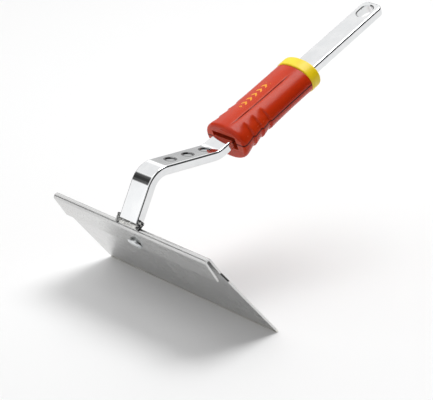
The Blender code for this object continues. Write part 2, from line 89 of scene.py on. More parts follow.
class Wire:
    """One output in a finish's node tree.  Arithmetic on wires adds Math nodes."""

    def __init__(self, tree, socket=None):
        self.tree = tree
        self.socket = socket

    def node(self, kind, settings, sockets, out=0):
        """Adds any node: its settings first, then the values or wires of its sockets."""
        made = self.tree.nodes.new(kind)
        for name, value in settings.items():
            setattr(made, name, value)
        for name, value in sockets.items():
            if isinstance(value, Wire):
                self.tree.links.new(value.socket, made.inputs[name])
            elif value is not None:
                made.inputs[name].default_value = value
        return Wire(self.tree, made.outputs[out])

    def maths(self, operation, first, second=None):
        return self.node("ShaderNodeMath", {"operation": operation}, {0: first, 1: second})

    def __add__(self, other):
        return self.maths("ADD", self, other)

    def __sub__(self, other):
        return self.maths("SUBTRACT", self, other)

    def __mul__(self, other):
        return self.maths("MULTIPLY", self, other)

    def __rsub__(self, other):
        return self.maths("SUBTRACT", other, self)

    def __lt__(self, other):
        return self.maths("LESS_THAN", self, other)

    def __gt__(self, other):
        return self.maths("GREATER_THAN", self, other)

    def __abs__(self):
        return self.maths("ABSOLUTE", self)

    __radd__ = __add__
    __rmul__ = __mul__

    def ramp(self, low, high, to_low=0.0, to_high=1.0):
        """Smooth step of this value between two limits."""
        return self.node("ShaderNodeMapRange", {"interpolation_type": "SMOOTHSTEP"},
                         {0: self, 1: low, 2: high, 3: to_low, 4: to_high})

    def colour(self, low, high):
        """Colour between two colours, with this value as the factor."""
        return self.node("ShaderNodeMix", {"data_type": "RGBA"},
                         {0: self, 6: rgba(low), 7: rgba(high)}, out=2)

    def part(self, axis):
        """The X, Y or Z part of these coordinates."""
        return self.node("ShaderNodeSeparateXYZ", {}, {0: self}, out=axis)

    def scaled(self, *sizes):
        """These coordinates stretched along each axis."""
        return self.node("ShaderNodeVectorMath", {"operation": "MULTIPLY"}, {0: self, 1: sizes})

    def dot(self, way):
        """How far these coordinates reach along a direction."""
        return self.node("ShaderNodeVectorMath", {"operation": "DOT_PRODUCT"},
                         {0: self, 1: way}, out="Value")

    def grain(self, scale, detail=3.0, roughness=0.55):
        """Noise from 0 to 1, read at these coordinates."""
        return self.node("ShaderNodeTexNoise", {},
                         {"Vector": self, "Scale": scale, "Detail": detail, "Roughness": roughness})

    def relief(self, height_in_metres):
        """Normal from this value as a height."""
        return self.node("ShaderNodeBump", {},
                         {"Strength": 1.0, "Distance": height_in_metres, "Height": self})


def rgba(colour):
    """A wire as it is, or three numbers with an opaque fourth."""
    return colour if isinstance(colour, Wire) else (*colour, 1.0)


class Finish(Wire):
    """A material with one Principled shader, whose constants are set on its own sockets."""

    def __init__(self, name, **constants):
        self.material = bpy.data.materials.new(name)
        self.material.use_nodes = True
        super().__init__(self.material.node_tree)
        self.shader = self.tree.nodes["Principled BSDF"]
        for socket, value in constants.items():
            self.shader.inputs[socket.replace("_", " ")].default_value = value

    def along(self, place):
        """Object coordinates turned into a piece's own frame."""
        back = place.inverted()
        raw = self.node("ShaderNodeTexCoord", {}, {}, out="Object")
        return self.node("ShaderNodeMapping", {},
                         {"Vector": raw, "Location": back.to_translation(), "Rotation": back.to_euler()})

    def wear(self, low, high):
        """0 on flat ground, 1 on the sharp edges that rub first."""
        sharpness = self.node("ShaderNodeNewGeometry", {}, {}, out="Pointiness")
        return sharpness.ramp(low, high)

    def feed(self, **wires):
        for socket, wire in wires.items():
            self.tree.links.new(wire.socket, self.shader.inputs[socket.replace("_", " ")])


def object_from(bm, name):
    """Makes an object of a finished bmesh."""
    mesh = bpy.data.meshes.new(name)
    bm.to_mesh(mesh)
    bm.free()
    piece = bpy.data.objects.new(name, mesh)
    bpy.context.scene.collection.objects.link(piece)
    return piece


def settle(piece):
    """Makes a piece's modifiers part of its mesh."""
    bpy.context.view_layer.update()
    shaped = piece.evaluated_get(bpy.context.evaluated_depsgraph_get())
    mesh = bpy.data.meshes.new_from_object(shaped)
    piece.modifiers.clear()
    piece.data = mesh


def carve(piece, bm):
    """Cuts a closed shape out of a piece."""
    bmesh.ops.recalc_face_normals(bm, faces=bm.faces)
    tool = object_from(bm, "tool")
    cut = piece.modifiers.new("cut", "BOOLEAN")
    cut.operation = "DIFFERENCE"
    cut.solver = "EXACT"
    cut.object = tool
    settle(piece)
    bpy.data.objects.remove(tool, do_unlink=True)


def fit(piece, node, finish, crisp=32.0):
    """Puts a finished piece in its CAD node's place and gives it its finish."""
    mesh = piece.data
    mesh.materials.clear()
    mesh.materials.append(finish.material)
    mesh.shade_smooth()
    mesh.set_sharp_from_angle(angle=math.radians(crisp))
    even = piece.modifiers.new("even_shading", "WEIGHTED_NORMAL")
    even.keep_sharp = True
    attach(piece, "root")
    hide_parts(node)


def only(kind, geometry):
    """The vertices, edges or faces among some geometry."""
    return [g for g in geometry if isinstance(g, kind)]


def pull(bm, moving, step):
    """Extrudes a face region, or edges, by a step and returns the new end."""
    if step.length < TOUCHING:
        return moving
    faces = only(BMFace, moving)
    if faces:
        moved = bmesh.ops.extrude_face_region(bm, geom=faces)["geom"]
        bmesh.ops.delete(bm, geom=faces, context="FACES_ONLY")
    else:
        moved = bmesh.ops.extrude_edge_only(bm, edges=only(BMEdge, moving))["geom"]
    verts = only(BMVert, moved)
    bmesh.ops.translate(bm, verts=verts, vec=step)
    return verts + (only(BMFace, moved) if faces else []) + only(BMEdge, moved)


def bend_along(bm, moving, corners, radii, steps):
    """Pulls an edge or a section, standing at the first corner, along a line of (y, z) corners, and
    bends it in so many steps round each inner corner that has a radius."""
    corners = [Vector((0.0, *corner)) for corner in corners]
    at = corners[0]
    for index, corner in enumerate(corners[1:]):
        way = (corner - corners[index]).normalized()
        bent = index < len(radii)
        stop = corner
        if bent:
            after = (corners[index + 2] - corner).normalized()
            turn = math.atan2(way.cross(after).x, way.dot(after))
            stop = corner - way * radii[index] * math.tan(abs(turn) / 2)
        moving = pull(bm, moving, stop - at)
        at = stop
        if bent:
            centre = at + Vector((0.0, -way.z, way.y)) * math.copysign(radii[index], turn)
            spun = bmesh.ops.spin(bm, geom=moving, cent=centre, axis=(1.0, 0.0, 0.0), angle=turn,
                                  steps=steps, use_merge=False, use_duplicate=False)
            moving = spun["geom_last"]
            at = centre + Matrix.Rotation(turn, 3, "X") @ (at - centre)
    return moving


def bar_section(bm):
    """Face across the bar with its four corners rounded, standing at y = 0."""
    bmesh.ops.create_grid(bm, x_segments=1, y_segments=1, size=0.5)
    bmesh.ops.scale(bm, verts=bm.verts, vec=(BAR_WIDTH, BAR_THICK, 1.0))
    bmesh.ops.rotate(bm, verts=bm.verts, matrix=Matrix.Rotation(math.pi / 2, 3, "X"))
    bmesh.ops.bevel(bm, geom=bm.verts[:], offset=BAR_EDGE, segments=5, profile=0.5,
                    affect="VERTICES", material=-1)


rise_way = Vector((0.0, -math.cos(RISE_ANGLE), math.sin(RISE_ANGLE)))
leg_way = Vector((0.0, -math.cos(LEG_ANGLE), -math.sin(LEG_ANGLE)))
rear_bend = Vector((0.0, 0.0, MID))
front_bend = rear_bend + rise_way * RISE_LENGTH
leg_end = front_bend + leg_way * LEG_LENGTH
tang_round_start = TANG_END - TANG_CORNER


def bar_body():
    bm = bmesh.new()
    bar_section(bm)
    bmesh.ops.translate(bm, verts=bm.verts, vec=(0.0, tang_round_start, MID))
    section = bm.verts[:] + bm.edges[:] + bm.faces[:]
    moving = bmesh.ops.duplicate(bm, geom=bm.faces[:])["geom"]
    # the foot runs on past its end, because it is cut along the blade's fold later
    foot_end = leg_end + leg_way * BAR_THICK
    line = [(tang_round_start, MID), rear_bend.yz, front_bend.yz, foot_end.yz]
    bend_along(bm, section, line, [REAR_BEND_RADIUS, FRONT_BEND_RADIUS], BEND_STEPS)
    # rings at the tang's end: how far out, how much narrower, how much lower; a quarter circle first
    rounds = [(TANG_CORNER * math.sin(a), TANG_CORNER * (1.0 - math.cos(a)), 0.0)
              for a in (math.radians(15.0 * k) for k in range(1, 6))]
    # known fault: the next ring lies behind the quarter circle's last one, so the skin doubles back
    rounds.append((TANG_CORNER - BAR_EDGE / 2, rounds[-1][1] + BAR_EDGE / 2, 0.0))
    rounds.append((TANG_CORNER - TIP_SHORT, TANG_CORNER, BAR_EDGE * TIP_LOWER))
    at, half = tang_round_start, BAR_WIDTH / 2
    for reach, inset, lower in rounds:
        moving = pull(bm, moving, Vector((0.0, tang_round_start + reach - at, 0.0)))
        at = tang_round_start + reach
        narrow = (BAR_WIDTH / 2 - inset) / half
        half = BAR_WIDTH / 2 - inset
        thin = (BAR_THICK / 2 - lower) / (BAR_THICK / 2)
        bmesh.ops.scale(bm, verts=only(BMVert, moving), vec=(narrow, 1.0, thin),
                        space=Matrix.Translation((0.0, -at, -MID)))
    bmesh.ops.remove_doubles(bm, verts=bm.verts, dist=TOUCHING)
    bmesh.ops.recalc_face_normals(bm, faces=bm.faces)
    return bm


def slot_tool():
    """Long round-ended plug, wider at both faces of the bar so that it leaves a rounded rim."""
    bm = bmesh.new()
    bmesh.ops.create_circle(bm, cap_ends=True, segments=48, radius=SLOT_WIDTH / 2)
    reach = (SLOT_LENGTH - SLOT_WIDTH) / 2
    for vert in bm.verts:
        vert.co.y += math.copysign(reach, vert.co.y)
    bmesh.ops.translate(bm, verts=bm.verts, vec=(0.0, 0.0, -BAR_THICK - RIM_ROUND))
    moving = bm.verts[:] + bm.edges[:] + bm.faces[:]
    bmesh.ops.duplicate(bm, geom=bm.faces[:])
    flare = 1.0 + 4 * RIM_ROUND / SLOT_WIDTH
    levels = [(2 * RIM_ROUND, 1.0 / flare), (BAR_THICK - 2 * RIM_ROUND, 1.0), (2 * RIM_ROUND, flare)]
    bmesh.ops.scale(bm, verts=bm.verts, vec=(flare, flare, 1.0))
    for rise, size in levels:
        moving = pull(bm, moving, Vector((0.0, 0.0, rise)))
        bmesh.ops.scale(bm, verts=only(BMVert, moving), vec=(size, size, 1.0))
    bmesh.ops.remove_doubles(bm, verts=bm.verts, dist=TOUCHING)
    middle = TANG_END - SLOT_END_MARGIN - SLOT_LENGTH / 2
    bmesh.ops.translate(bm, verts=bm.verts, vec=(0.0, middle, 0.0))
    return bm


def turned(profile, steps=48):
    """Solid turned about Z from (radius, height) points that start and end on the axis."""
    bm = bmesh.new()
    verts = [bm.verts.new((radius, 0.0, height)) for radius, height in profile]
    edges = [bm.edges.new(pair) for pair in zip(verts, verts[1:])]
    bmesh.ops.spin(bm, geom=verts + edges, cent=(0.0, 0.0, 0.0), axis=(0.0, 0.0, 1.0),
                   angle=math.tau, steps=steps, use_merge=True)
    bmesh.ops.remove_doubles(bm, verts=bm.verts, dist=TOUCHING)
    bmesh.ops.recalc_face_normals(bm, faces=bm.faces)
    return bm


def dimple_tool(index):
    """Punch with a flat nose and a rounded shoulder, standing on the rise."""
    radius, inset = DIMPLE_WIDTH / 2, DIMPLE_DEPTH * 0.2
    shoulder = [(radius - DIMPLE_DEPTH * math.cos(a) - inset, -DIMPLE_DEPTH * math.sin(a))
                for a in (math.radians(90.0 - 18.0 * k) for k in range(6))]
    bm = turned([(0.0, -DIMPLE_DEPTH)] + shoulder
                + [(radius + DIMPLE_DEPTH, DIMPLE_DEPTH), (0.0, DIMPLE_DEPTH)])
    up = Vector((0.0, rise_way.z, -rise_way.y))
    middle = rear_bend + rise_way * (DIMPLE_START + index * DIMPLE_PITCH) + up * BAR_THICK / 2
    turn = Vector((0.0, 0.0, 1.0)).rotation_difference(up).to_matrix().to_4x4()
    bmesh.ops.transform(bm, verts=bm.verts, matrix=Matrix.Translation(middle) @ turn)
    return bm


def chrome_finish():
    chrome = Finish("bright_chrome", Metallic=1.0)
    spot = chrome.along(tool_place)
    haze = spot.grain(90.0)
    rubs = spot.scaled(1.0, 0.06, 1.0).grain(2600.0, detail=2.0)
    # painted shade: the plating is coloured dark round the shoulder of each pressed mark, where its
    # steep rim lies in shade
    from_bend = chrome.node("ShaderNodeVectorMath", {"operation": "SUBTRACT"}, {0: spot, 1: rear_bend})
    run = from_bend.dot(rise_way)
    share = (run - (DIMPLE_START - DIMPLE_PITCH / 2)) * (1.0 / DIMPLE_PITCH)
    off = (chrome.maths("FRACT", share) - 0.5) * DIMPLE_PITCH
    side = spot.part("X")
    out = chrome.maths("SQRT", off * off + side * side)
    rim = abs(out - DIMPLE_WIDTH * 0.47).ramp(*DIMPLE_RIM_FADE)
    rim = rim * (share > 0.0) * (share < float(DIMPLE_COUNT)) * (run < RISE_LENGTH)
    plating = haze.ramp(0.3, 0.7).colour((0.74, 0.75, 0.76), (0.80, 0.805, 0.81))
    rough = 0.045 + 0.05 * haze.ramp(0.35, 0.75) + 0.05 * rubs.ramp(0.55, 0.75)
    # the dark colour at the marks' rims is painted shade, not a dull finish
    chrome.feed(Base_Color=(rim * 0.75).colour(plating, (0.10, 0.10, 0.10)),
                Roughness=rough + 0.06 * chrome.wear(0.52, 0.60),
                Normal=(haze * 0.3 + rubs * 0.03).relief(0.00005))
    return chrome


bar = object_from(bar_body(), "plated_bar")
carve(bar, slot_tool())
for mark in range(DIMPLE_COUNT):
    carve(bar, dimple_tool(mark))


# ---- Blade ----------------------------------------------------------------------------------
# Steel sheet 1.4 mm thick.  Its top is folded forwards and down into a flange, the sheet behind is
# set back under the fold, and the lower edge is ground to the cutting edge.  Satin surface.
EDGE_LENGTH = 0.150
NECK_LENGTH = 0.144
FOLD_LENGTH = 0.1352
BLADE_HEIGHT = 0.0779
BLADE_LEAN = math.radians(17.5)
SHEET = 0.0014
GROUND_HEIGHT = 0.0032
EDGE_THICK = 0.0004
CORNER_CLIP = 0.0012
FOLD_RADIUS = 0.0015
FOLD_FRONT_RADIUS = 0.0013
FLANGE_HEIGHT = 0.0179
FLANGE_OPENING = 0.0020
FOLD_SET_BACK = 0.0022
JOGGLE_LENGTH = 0.006
JOGGLE_RADIUS = 0.008
JOIN_DROP = 0.0006
DEBURR_WIDTH = 0.00022

blade_up = Vector((0.0, -math.sin(BLADE_LEAN), math.cos(BLADE_LEAN)))
blade_back = Vector((0.0, math.cos(BLADE_LEAN), math.sin(BLADE_LEAN)))
fold_back = SHEET + FOLD_SET_BACK
edge_point = leg_end - blade_up * (BLADE_HEIGHT - JOIN_DROP) - blade_back * (fold_back + GAP)
# the blade's own frame: +Y back, +Z up the sheet, from the foot of its front face
blade_place = tool_place @ Matrix.Translation(edge_point) @ Matrix.Rotation(BLADE_LEAN, 4, "X")
flange_low = BLADE_HEIGHT - FLANGE_HEIGHT
back_layer = fold_back - SHEET / 2
front_layer = back_layer - 2 * FOLD_RADIUS
sheet_top = BLADE_HEIGHT - SHEET / 2


def sheet_half_width(up):
    """Flared below the fold, square along it, with a short slant between the two."""
    step = JOGGLE_LENGTH / 3
    slant = min(1.0, max(0.0, (flange_low + step - up) / (2 * step)))
    flare = 1.0 - min(1.0, max(0.0, up / (flange_low - step)))
    neck = (FOLD_LENGTH + (NECK_LENGTH - FOLD_LENGTH) * slant) / 2
    return neck + (EDGE_LENGTH - NECK_LENGTH) / 2 * flare


def blade_body():
    bm = bmesh.new()
    ends = [bm.verts.new((x, SHEET / 2, 0.0)) for x in (-1.0, 1.0)]
    edge = bm.edges.new(ends)
    line = [
        (SHEET / 2, 0.0),
        (SHEET / 2, CORNER_CLIP),
        (SHEET / 2, GROUND_HEIGHT),
        (SHEET / 2, flange_low - JOGGLE_LENGTH / 2),
        (back_layer * 0.75, flange_low + JOGGLE_LENGTH / 2),
        (back_layer, sheet_top),
        (front_layer, sheet_top),
        (front_layer - FLANGE_OPENING, flange_low),
    ]
    moving = bend_along(bm, ends + [edge], line[:2], [], 1)
    moving = bend_along(bm, moving, line[1:3], [], 1)
    bend_along(bm, moving, line[2:],
               [JOGGLE_RADIUS, JOGGLE_RADIUS, FOLD_RADIUS, FOLD_FRONT_RADIUS], 12)
    for vert in bm.verts:
        half = FOLD_LENGTH / 2 if vert.co.y < SHEET / 4 else sheet_half_width(vert.co.z)
        if vert.co.z < CORNER_CLIP / 2:
            half -= CORNER_CLIP
        vert.co.x = math.copysign(half, vert.co.x)
    bmesh.ops.recalc_face_normals(bm, faces=bm.faces)
    return bm


def satin_finish():
    satin = Finish("satin_steel", Metallic=1.0)
    spot = satin.along(blade_place)
    rolled = spot.scaled(0.08, 1.0, 1.0).grain(2400.0, detail=2.0)
    cloud = spot.grain(28.0)
    ground = spot.part("Z").ramp(GROUND_HEIGHT, GROUND_HEIGHT * 0.8)
    marks = spot.scaled(1.0, 0.1, 0.1).grain(2400.0, detail=2.0)
    bare = ground * 0.6 + satin.wear(0.52, 0.62) * 0.4
    plain = cloud.ramp(0.3, 0.7).colour((0.60, 0.60, 0.60), (0.64, 0.64, 0.635))
    satin.feed(Base_Color=bare.colour(plain, (0.86, 0.84, 0.78)),
               Roughness=0.22 + 0.05 * rolled + 0.05 * cloud + 0.10 * ground * marks,
               Normal=(rolled * (1.0 - ground) + marks * ground).relief(0.000004))
    return satin


blade = object_from(blade_body(), "folded_blade")
wall = blade.modifiers.new("sheet", "SOLIDIFY")
wall.thickness = SHEET
wall.offset = 0.0
wall.use_even_offset = True
settle(blade)
for vert in blade.data.vertices:
    if vert.co.z < CORNER_CLIP / 2 and vert.co.y < SHEET / 2:
        vert.co.y = SHEET - EDGE_THICK
blade.data.transform(blade_place)
deburred = blade.modifiers.new("deburred", "BEVEL")
deburred.width = DEBURR_WIDTH
deburred.segments = 3
deburred.limit_method = "ANGLE"
deburred.angle_limit = math.radians(50.0)
settle(blade)
fit(blade, "blade", satin_finish(), crisp=50.0)

# the bar's foot is cut along the back of the fold, where it is welded
foot = bmesh.new()
bmesh.ops.create_cube(foot, size=4 * BAR_WIDTH)
foot_middle = (0.0, fold_back + GAP - 2 * BAR_WIDTH, BLADE_HEIGHT)
bmesh.ops.translate(foot, verts=foot.verts, vec=foot_middle)
bmesh.ops.transform(foot, verts=foot.verts, matrix=tool_place.inverted() @ blade_place)
carve(bar, foot)
bar.data.transform(tool_place)
fit(bar, "shank", chrome_finish(), crisp=35.0)


# ---- Rivet ----------------------------------------------------------------------------------
# Plated steel rivet with a low domed head, through the flange and the sheet behind it.
HEAD_WIDTH = 0.0096
HEAD_HEIGHT = 0.0017
HEAD_RIM = 0.35  # share of the head's height that stands straight up
SHAFT_WIDTH = 0.0050
TAIL_WIDTH = 0.0078
TAIL_HEIGHT = 0.0010
RIVET_FROM_TOP = 0.0138


def rivet_body():
    radius = HEAD_WIDTH / 2
    dome = [(radius * math.sin(a), HEAD_HEIGHT * HEAD_RIM + HEAD_HEIGHT * (1.0 - HEAD_RIM) * math.cos(a))
            for a in (math.radians(10.0 * k) for k in range(10))]
    depth = back_layer - front_layer + FLANGE_OPENING + SHEET
    tail = [(TAIL_WIDTH / 2 * math.cos(a), -depth - TAIL_HEIGHT * math.sin(a))
            for a in (math.radians(10.0 * k) for k in range(10))]
    bm = turned(dome + [(radius, 0.0), (SHAFT_WIDTH / 2, 0.0), (SHAFT_WIDTH / 2, -depth)] + tail, 64)
    lean = math.atan2(FLANGE_OPENING, sheet_top - FOLD_RADIUS - flange_low)
    up = BLADE_HEIGHT - RIVET_FROM_TOP
    share = (sheet_top - FOLD_RADIUS - up) / (sheet_top - FOLD_RADIUS - flange_low)
    front = front_layer - FLANGE_OPENING * share - SHEET / 2 - GAP
    place = blade_place @ Matrix.Translation((0.0, front, up))
    bmesh.ops.transform(bm, verts=bm.verts, matrix=place @ Matrix.Rotation(math.pi / 2 + lean, 4, "X"))
    return bm


def rivet_finish():
    plate = Finish("plated_rivet", Metallic=0.7)
    spot = plate.along(blade_place)
    pits = spot.grain(1400.0, detail=2.0)
    haze = spot.grain(420.0)
    plate.feed(Base_Color=haze.ramp(0.35, 0.7).colour((0.80, 0.83, 0.84), (0.93, 0.95, 0.95)),
               Roughness=0.24 + 0.20 * haze,
               Normal=(pits + haze * 2.0).relief(0.00004))
    return plate


rivet = object_from(rivet_body(), "domed_rivet")
fit(rivet, "rivet", rivet_finish(), crisp=50.0)


# ---- Weld -----------------------------------------------------------------------------------
# Bead run round the bar's foot on the fold's top: overlapping drops of weld metal, thin in front
# of the bar and heaped up at its two sides, plated over.
WELD_REACH = 0.0024
WELD_HEAP = 0.0022
WELD_PITCH = 0.0016
WELD_SINK = 0.0002
BEAD_HEIGHT = 0.00075
HEAP_COUNT = 4
HEAP_STEP = 0.0011
HEAP_BACK = 0.0021
HEAP_CLEAR = 0.0009  # how far a heap's first drop stands beside the bar and above the fold
HEAP_DEPTH = 0.0012
HEAP_SEED = 20
DENT_SIZE = 0.45
VOXEL = 0.00022


def drop(bm, middle, size, seed):
    """One frozen drop of weld metal, sunk into the fold and dented."""
    made = bmesh.ops.create_icosphere(bm, subdivisions=3, radius=1.0)["verts"]
    for vert in made:
        dent = DENT_SIZE * noise.noise(vert.co * 1.7 + Vector((seed * 3.1, 0.0, 0.0)))
        stretched = Vector([c * s for c, s in zip(vert.co, size)])
        vert.co = Vector(middle) + stretched * (1.0 + dent)


def weld_body():
    bm = bmesh.new()
    half = BAR_WIDTH / 2
    count = round(BAR_WIDTH / WELD_PITCH)
    size = (WELD_PITCH * 0.85, WELD_REACH * 0.52, BEAD_HEIGHT)
    for index in range(count + 1):
        x = -half + BAR_WIDTH * index / count
        drop(bm, (x, fold_back - WELD_REACH * 0.45, BLADE_HEIGHT - WELD_SINK), size, index)
    for side in (-1, 1):
        for index in range(HEAP_COUNT):
            middle = (side * (half + HEAP_CLEAR), fold_back + HEAP_BACK - index * HEAP_STEP,
                      BLADE_HEIGHT + HEAP_CLEAR - WELD_SINK * index)
            size = (WELD_HEAP * (1.0 - 0.09 * index), HEAP_DEPTH, WELD_HEAP * (0.95 - 0.12 * index))
            drop(bm, middle, size, HEAP_SEED + index + side)
    return bm


def weld_finish():
    crust = Finish("plated_weld", Metallic=1.0)
    spot = crust.along(blade_place)
    lumps = spot.grain(700.0, detail=4.0)
    heap = abs(spot.part("X")).ramp(BAR_WIDTH * 0.42, BAR_WIDTH * 0.52)
    bead_tone = lumps.ramp(0.35, 0.6).colour((0.55, 0.55, 0.53), (0.92, 0.91, 0.88))
    # the heaps at the bar's two sides are coloured much darker than the bead in front, down to near
    # black between lighter lumps
    dark_heap_tone = lumps.ramp(0.48, 0.64).colour((0.03, 0.03, 0.032), (0.62, 0.62, 0.60))
    crust.feed(Base_Color=heap.colour(bead_tone, dark_heap_tone),
               Roughness=0.22 + 0.35 * lumps,
               Normal=lumps.relief(0.0005))
    return crust


weld = object_from(weld_body(), "weld_bead")
melt = weld.modifiers.new("melted", "REMESH")
melt.mode = "VOXEL"
melt.voxel_size = VOXEL
melt.use_smooth_shade = True
settle(weld)
weld.data.transform(blade_place)
fit(weld, "weld", weld_finish(), crisp=80.0)


# ---- Grip -----------------------------------------------------------------------------------
# Two moulded plastic shells closed round the bar.  Each side has three finger scallops with a sharp
# back edge, the top has a drawn crease, and the nose has a window round the bar.
GRIP_START = 0.0122
GRIP_END = 0.0767
GRIP_BACK_HALF = (0.0153, 0.0097)
GRIP_FRONT_HALF = (0.0172, 0.0127)
GRIP_FRONT_DROP = 0.0014
GRIP_ROUNDNESS = 2.1
GRIP_FLARE = 3.2
NOSE_ROUND = 0.0024
SCALLOP_COUNT = 3
SCALLOP_START = 0.0034
SCALLOP_PITCH = 0.0077
SCALLOP_DEPTH = 0.0013
SCALLOP_BREAK = 0.88  # share of a scallop's length at which its sharp step begins
SCALLOP_SIDE = (0.52, 0.84)  # share of the half width over which a scallop deepens
CREASE_X = 0.0050
CREASE_ENDS = (0.0145, 0.0720)
CREASE_FADE = 0.012
CREASE_WIDTH = 0.00042
CREASE_DEPTH = 0.00045
WINDOW_SIZE = (0.0196, 0.0094)
WINDOW_DEPTH = 0.0030
SOFT_EDGE = 0.0003
AROUND = 300
RING_STEP = 0.0004
CHEVRON_X = -0.0021
CHEVRON_REACH = 0.0020
CHEVRON_PITCH = 0.0046
CHEVRON_ENDS = (0.0325, 0.0585)
CHEVRON_STROKE = 0.34
CHEVRON_SLOPE = 0.9
PARTING_FADE = (0.0006, 0.0003)


def smooth(value, low, high):
    """Smooth step from 0 at the low limit to 1 at the high one."""
    share = min(1.0, max(0.0, (value - low) / (high - low)))
    return share * share * (3.0 - 2.0 * share)


def oval_point(angle, half_width, half_height):
    """Point of a slightly squared oval across the grip."""
    across, up = math.cos(angle), math.sin(angle)
    return Vector((math.copysign(abs(across) ** (2 / GRIP_ROUNDNESS), across) * half_width, 0.0,
                   math.copysign(abs(up) ** (2 / GRIP_ROUNDNESS), up) * half_height))


def grip_point(angle, y):
    """Point of the moulded skin at an angle round the section at y."""
    flare = max(0.0, (GRIP_END - y) / (GRIP_END - GRIP_START)) ** GRIP_FLARE
    nose = 1.0 - min(1.0, (y - GRIP_START) / NOSE_ROUND)
    inset = NOSE_ROUND * (1.0 - math.sqrt(max(0.0, 1.0 - nose * nose)))
    halves = [back + (front - back) * flare - inset
              for back, front in zip(GRIP_BACK_HALF, GRIP_FRONT_HALF)]
    point = oval_point(angle, *halves)
    # scallops: slow from the front, a sharp step at their back, none on the top and bottom
    share = (y - GRIP_START - SCALLOP_START) / SCALLOP_PITCH
    if 0.0 < share < SCALLOP_COUNT:
        part = share % 1.0
        side = smooth(abs(point.x) / halves[0], *SCALLOP_SIDE)
        depth = part ** 1.3 / 0.9 if part < SCALLOP_BREAK else (1.0 - part) / (1.0 - SCALLOP_BREAK)
        point -= point.normalized() * SCALLOP_DEPTH * min(1.0, depth) * side
    if point.z > 0.0:
        start, end = CREASE_ENDS
        fade = smooth(y, start, start + CREASE_FADE) * smooth(-y, -end, CREASE_FADE - end)
        point.z -= CREASE_DEPTH * fade * math.exp(-((point.x - CREASE_X) / CREASE_WIDTH) ** 2)
    return point + Vector((0.0, y, MID - GRIP_FRONT_DROP * flare))


def skin(shape, stations, around):
    """Closed solid: a circle pulled along Y, each of its rings shaped by an angle and a place."""
    bm = bmesh.new()
    turn = bm.verts.layers.float.new("turn")
    bmesh.ops.create_circle(bm, cap_ends=False, segments=around, radius=1.0)
    for vert in bm.verts:
        vert[turn] = math.atan2(vert.co.y, vert.co.x)
    ring = bm.edges[:]
    first = ring
    for index, y in enumerate(stations):
        verts = {v for edge in ring for v in edge.verts}
        for vert in verts:
            vert.co = shape(vert[turn], y)
        if index + 1 < len(stations):
            moved = bmesh.ops.extrude_edge_only(bm, edges=ring)["geom"]
            ring = [e for e in only(BMEdge, moved) if all(v not in verts for v in e.verts)]
    for end in (first, ring):
        bmesh.ops.contextual_create(bm, geom=end)
    bmesh.ops.recalc_face_normals(bm, faces=bm.faces)
    return bm


def grip_stations():
    """Places of the skin's rings: close together round the nose, then evenly spaced."""
    nose = [GRIP_START + NOSE_ROUND * (1.0 - math.cos(math.radians(9.0 * k))) for k in range(11)]
    count = round((GRIP_END - nose[-1]) / RING_STEP)
    return nose + [nose[-1] + (GRIP_END - nose[-1]) * k / count for k in range(1, count + 1)]


def block(low, high):
    """Box between two corners."""
    bm = bmesh.new()
    bmesh.ops.create_cube(bm, size=1.0)
    bmesh.ops.scale(bm, verts=bm.verts, vec=Vector(high) - Vector(low))
    bmesh.ops.translate(bm, verts=bm.verts, vec=(Vector(high) + Vector(low)) / 2)
    return bm


def shell(side, name):
    """Upper (side 1) or lower (side -1) half of the grip, cut at the parting plane."""
    bm = skin(grip_point, grip_stations(), AROUND)
    cut = bmesh.ops.bisect_plane(bm, geom=bm.verts[:] + bm.edges[:] + bm.faces[:],
                                 plane_co=(0.0, 0.0, MID + side * GAP / 2), plane_no=(0.0, 0.0, side),
                                 clear_inner=True)
    bmesh.ops.contextual_create(bm, geom=only(BMEdge, cut["geom_cut"]))
    bmesh.ops.recalc_face_normals(bm, faces=bm.faces)
    half = object_from(bm, name)
    wide, tall = WINDOW_SIZE
    front = GRIP_START - WINDOW_DEPTH
    carve(half, block((-wide / 2, front, MID - tall / 2),
                      (wide / 2, GRIP_START + WINDOW_DEPTH, MID + tall / 2)))
    bar_side = BAR_WIDTH / 2 + GAP
    carve(half, block((-bar_side, front, -BAR_THICK - GAP), (bar_side, GRIP_END * 2, 2 * GAP)))
    softened = half.modifiers.new("softened", "BEVEL")
    softened.width = SOFT_EDGE
    softened.segments = 2
    softened.limit_method = "ANGLE"
    softened.angle_limit = math.radians(62.0)
    softened.use_clamp_overlap = True
    settle(half)
    return half


def red_finish():
    red = Finish("red_plastic", IOR=1.5, Specular_IOR_Level=0.22)
    spot = red.along(tool_place)
    x, y, z = spot.part("X"), spot.part("Y"), spot.part("Z")
    grain = spot.grain(1900.0, detail=2.0)
    flow = spot.scaled(1.0, 0.35, 1.0).grain(70.0)
    on_top = z > 0.0
    # generic printed mark on the top: a row of small chevrons
    off = abs(x - CHEVRON_X)
    phase = red.maths("FRACT", (y + off * CHEVRON_SLOPE) * (1.0 / CHEVRON_PITCH))
    inked = (phase < CHEVRON_STROKE) * (off < CHEVRON_REACH) * on_top
    inked = inked * (y > CHEVRON_ENDS[0]) * (y < CHEVRON_ENDS[1])
    # painted shade in the drawn crease, and a darker line along the parting line
    start, end = CREASE_ENDS
    drawn = abs(x - CREASE_X).ramp(CREASE_WIDTH * 1.1, CREASE_WIDTH * 0.4) * on_top
    drawn = drawn * y.ramp(start, start + 0.010) * y.ramp(end, end - 0.008)
    parting = abs(z - MID).ramp(*PARTING_FADE)
    crease_shade_and_seam_mask = red.maths("MAXIMUM", drawn, parting) * 0.85
    worn = red.wear(0.53, 0.60)
    plain = flow.ramp(0.3, 0.7).colour((0.53, 0.026, 0.003), (0.60, 0.040, 0.005))
    rubbed = (worn * 0.20).colour(plain, (0.74, 0.14, 0.06))
    # mixes in the painted crease shade and the dark parting line
    crease_and_seam_darkened = crease_shade_and_seam_mask.colour(rubbed, (0.06, 0.004, 0.002))
    red.feed(Base_Color=(inked * 0.9).colour(crease_and_seam_darkened, (0.93, 0.42, 0.02)),
             Roughness=0.20 + 0.07 * flow + 0.05 * grain + 0.08 * worn,
             Normal=(grain + inked * 0.5).relief(0.00003))
    return red


